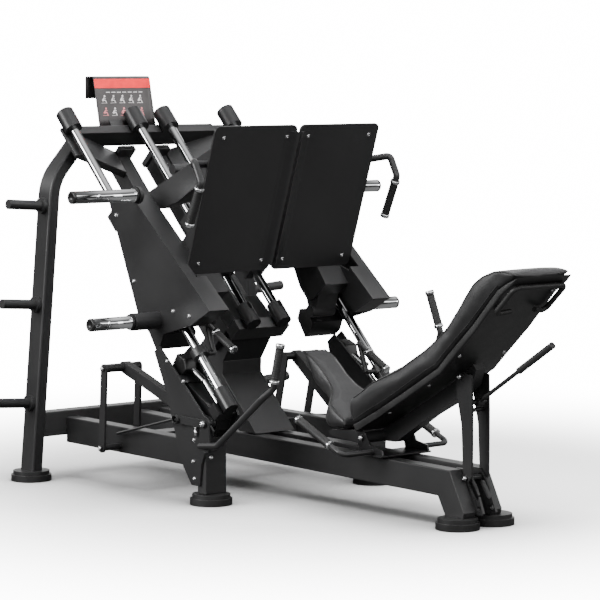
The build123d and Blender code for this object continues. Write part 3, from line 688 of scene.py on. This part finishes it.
def tube(name, points, r, mat, body, slot):
    """Piping: a round cord along points, as a mesh."""
    cu = bpy.data.curves.new(name + "_line", "CURVE")
    cu.dimensions = "3D"
    sp = cu.splines.new("NURBS")
    sp.points.add(len(points) - 1)
    for q, p in zip(sp.points, points):
        q.co = (*p, 1)
    sp.order_u = 3
    sp.use_endpoint_u = True
    cu.bevel_depth = r
    cu.bevel_resolution = 3
    cu.resolution_u = 6
    tmp = bpy.data.objects.new(name + "_tmp", cu)
    scene.collection.objects.link(tmp)
    dg = bpy.context.evaluated_depsgraph_get()
    me = bpy.data.meshes.new_from_object(tmp.evaluated_get(dg))
    bpy.data.objects.remove(tmp)
    me.materials.clear()
    me.materials.append(mat)
    o = bpy.data.objects.new(name, me)
    scene.collection.objects.link(o)
    for p in me.polygons:
        p.use_smooth = True
    return finish_piece(o, body, slot)


def along(points, count):
    """Evenly spaced points on a polyline of (x, z)."""
    pts = [Vector(p) for p in points]
    seg = [(b - a).length for a, b in zip(pts, pts[1:])]
    total = sum(seg)
    out = []
    for i in range(count):
        d = total * i / (count - 1)
        for k, s in enumerate(seg):
            if d <= s or k == len(seg) - 1:
                out.append(pts[k].lerp(pts[k + 1], min(1, d / s)))
                break
            d -= s
    return out


back = pad_block("back_cushion", inset(FRONT + SEAM, 5.0), 141.0, M["pad"])
stuff(back, PAD_VOXEL, PAD_PRESSURE, 0.008)
finish_piece(back, "bench", "pad_leather", "back_pad")
back_tree = tree_of(back)
for side in (-1, 1):
    pts = []
    for p in along(FRONT[2:], 44):
        hit = back_tree.find_nearest(at(p.x, side * 150, p.y + 4))
        if hit[0] is not None:
            pts.append(hit[0] + hit[1] * 0.0005)
    tube(f"back_piping_{'l' if side < 0 else 'r'}", pts, 0.0028, M["piping"], "bench", "pad_leather")
    pts = []
    for p in along(SEAM[1:], 34):
        hit = back_tree.find_nearest(at(p.x - 3, side * 152, p.y + 9))
        if hit[0] is not None:
            pts.append(hit[0] + hit[1] * 0.0004)
    tube(f"back_seam_{'l' if side < 0 else 'r'}", pts, 0.0018, M["piping"], "bench", "pad_leather")

# seat cushion from its narrow end to the wide end by the back pad: top point, bottom point, half width
STATIONS = [((-86, 581), (-68, 548), 58), ((-50, 572), (-40, 505), 63), ((-17, 556), (-14, 458), 63),
            ((22, 528), (28, 432), 63), ((60, 496), (66, 412), 65), ((95, 468), (92, 390), 72),
            ((120, 450), (106, 366), 88), ((140, 434), (116, 344), 112), ((158, 420), (130, 322), 132),
            ((184, 401), (152, 306), 141), ((225, 374), (200, 309), 143), ((256, 352), (262, 316), 141)]
rings = []
for (tx, tz), (bx, bz), w in STATIONS:
    t, b = Vector((tx, 0, tz)), Vector((bx, 0, bz))
    ring = []
    for k in range(32):
        ang = 2 * math.pi * (k + 0.5) / 32
        c, s = math.cos(ang), math.sin(ang)
        e = 0.42
        u = math.copysign(abs(c) ** e, c)
        v = math.copysign(abs(s) ** e, s)
        mid = (t + b) / 2 + (t - b) / 2 * v
        ring.append(at(mid.x, u * w, mid.z))
    rings.append(ring)
seat = loft("seat_cushion", rings, M["pad"])
stuff(seat, PAD_VOXEL, PAD_PRESSURE, 0.006)
finish_piece(seat, "bench", "pad_leather", "seat_pad")
seat_tree = tree_of(seat)
for side in (-1, 1):
    pts = []
    for (tx, tz), (bx, bz), w in STATIONS:
        hit = seat_tree.find_nearest(at(tx, side * (w + 6), tz + 4))
        if hit[0] is not None:
            pts.append(hit[0] + hit[1] * 0.0005)
    tube(f"seat_piping_{'l' if side < 0 else 'r'}", pts, 0.0026, M["piping"], "bench", "pad_leather")

# ---- studio -------------------------------------------------------------------------
# floor: paler to the camera than to other rays, darker close to the machine through a painted shadow (ambient
# occlusion multiplied into its colour), white far from it
bm = bmesh.new()
bmesh.ops.create_circle(bm, cap_ends=True, radius=60, segments=96)
floor = obj_from(bm, "floor", [], False)
m, nt, bsdf = new_mat("studio_floor")
coord = nt.nodes.new("ShaderNodeTexCoord")
grad = nt.nodes.new("ShaderNodeVectorMath")
grad.operation = "DISTANCE"
grad.inputs[1].default_value = (-0.40, 0.34, 0.0)
nt.links.new(coord.outputs["Object"], grad.inputs[0])
fade = nt.nodes.new("ShaderNodeMapRange")
fade.interpolation_type = "SMOOTHSTEP"
fade.inputs["From Min"].default_value = 1.15
fade.inputs["From Max"].default_value = 3.6
nt.links.new(grad.outputs["Value"], fade.inputs["Value"])
seen = nt.nodes.new("ShaderNodeLightPath")
pale = nt.nodes.new("ShaderNodeMapRange")
pale.inputs["To Min"].default_value = 0.07
pale.inputs["To Max"].default_value = 0.90
nt.links.new(seen.outputs["Is Camera Ray"], pale.inputs["Value"])
# painted shadow: ambient occlusion darkens the floor's base colour under and around the machine
shade = nt.nodes.new("ShaderNodeAmbientOcclusion")
shade.inputs["Distance"].default_value = 0.75
shade.samples = 8
painted_shadow = nt.nodes.new("ShaderNodeMapRange")
painted_shadow.inputs["From Min"].default_value = 0.25
painted_shadow.inputs["From Max"].default_value = 0.98
painted_shadow.inputs["To Min"].default_value = 0.22
nt.links.new(shade.outputs["AO"], painted_shadow.inputs["Value"])
tone = nt.nodes.new("ShaderNodeMath")
tone.operation = "MULTIPLY"
nt.links.new(painted_shadow.outputs["Result"], tone.inputs[0])
nt.links.new(pale.outputs["Result"], tone.inputs[1])
nt.links.new(tone.outputs["Value"], bsdf.inputs["Base Color"])
bsdf.inputs["Specular IOR Level"].default_value = 0.0
far = nt.nodes.new("ShaderNodeMath")
far.operation = "MULTIPLY"
nt.links.new(fade.outputs["Result"], far.inputs[0])
nt.links.new(seen.outputs["Is Camera Ray"], far.inputs[1])
bsdf.inputs["Roughness"].default_value = 0.6
glow = nt.nodes.new("ShaderNodeEmission")
glow.inputs["Color"].default_value = (1, 1, 1, 1)
glow.inputs["Strength"].default_value = WHITE
mix = nt.nodes.new("ShaderNodeMixShader")
out = next(n for n in nt.nodes if n.type == "OUTPUT_MATERIAL")
nt.links.new(far.outputs["Value"], mix.inputs[0])
nt.links.new(bsdf.outputs[0], mix.inputs[1])
nt.links.new(glow.outputs[0], mix.inputs[2])
nt.links.new(mix.outputs[0], out.inputs["Surface"])
floor.data.materials.append(m)

# surroundings: plain white to the camera, a dark room with one bright band to every other ray
world = bpy.data.worlds.new("studio")
scene.world = world
world.use_nodes = True
nt = world.node_tree
nt.nodes.clear()
out = nt.nodes.new("ShaderNodeOutputWorld")
path = nt.nodes.new("ShaderNodeLightPath")
white = nt.nodes.new("ShaderNodeBackground")
white.inputs["Color"].default_value = (1, 1, 1, 1)
white.inputs["Strength"].default_value = WHITE
room = nt.nodes.new("ShaderNodeBackground")
soft = nt.nodes.new("ShaderNodeMapRange")
soft.inputs["To Min"].default_value = 0.35
soft.inputs["To Max"].default_value = 1.0
nt.links.new(path.outputs["Is Glossy Ray"], soft.inputs["Value"])
nt.links.new(soft.outputs["Result"], room.inputs["Strength"])
coord = nt.nodes.new("ShaderNodeTexCoord")
split = nt.nodes.new("ShaderNodeSeparateXYZ")
nt.links.new(coord.outputs["Generated"], split.inputs[0])
ramp = nt.nodes.new("ShaderNodeValToRGB")
ramp.color_ramp.elements[0].position = 0.30
ramp.color_ramp.elements[0].color = (0.02, 0.02, 0.02, 1)
ramp.color_ramp.elements[1].position = 1.0
ramp.color_ramp.elements[1].color = (0.9, 0.9, 0.9, 1)
for pos, val in ((0.50, 0.03), (0.58, 0.05), (0.615, 2.8), (0.68, 2.8), (0.715, 0.12), (0.86, 0.2)):
    e = ramp.color_ramp.elements.new(pos)
    e.color = (val, val, val, 1)
shift = nt.nodes.new("ShaderNodeMapRange")
shift.inputs["From Min"].default_value = -1
shift.inputs["From Max"].default_value = 1
nt.links.new(split.outputs["Z"], shift.inputs["Value"])
nt.links.new(shift.outputs["Result"], ramp.inputs["Fac"])
nt.links.new(ramp.outputs["Color"], room.inputs["Color"])
both = nt.nodes.new("ShaderNodeMixShader")
nt.links.new(path.outputs["Is Camera Ray"], both.inputs[0])
nt.links.new(room.outputs[0], both.inputs[1])
nt.links.new(white.outputs[0], both.inputs[2])
nt.links.new(both.outputs[0], out.inputs["Surface"])


def area(name, place, target, size, power, size_y=None):
    li = bpy.data.lights.new(name, "AREA")
    li.energy = power
    li.size = size
    if size_y:
        li.shape = "RECTANGLE"
        li.size_y = size_y
    lo = bpy.data.objects.new(name, li)
    scene.collection.objects.link(lo)
    lo.location = place
    lo.rotation_euler = (Vector(target) - Vector(place)).to_track_quat("-Z", "Y").to_euler()
    return lo


area("key_left", (-2.0, -6.5, 3.2), (0, 0, 0.8), 4.0, 500, 3.0)
area("fill_front", (6.5, -2.0, 2.5), (0, 0, 0.8), 2.0, 60, 3.0)
area("strip_front", (4.6, -6.2, 4.2), (0, 0, 0.8), 0.35, 30, 4.0)
area("strip_right", (5.5, 2.5, 3.4), (0, 0, 0.8), 0.35, 26, 3.0)
top = area("top_soft", (0.6, 0.3, 4.6), (0, 0, 0.5), 4.5, 850, 4.5)
top.visible_glossy = False
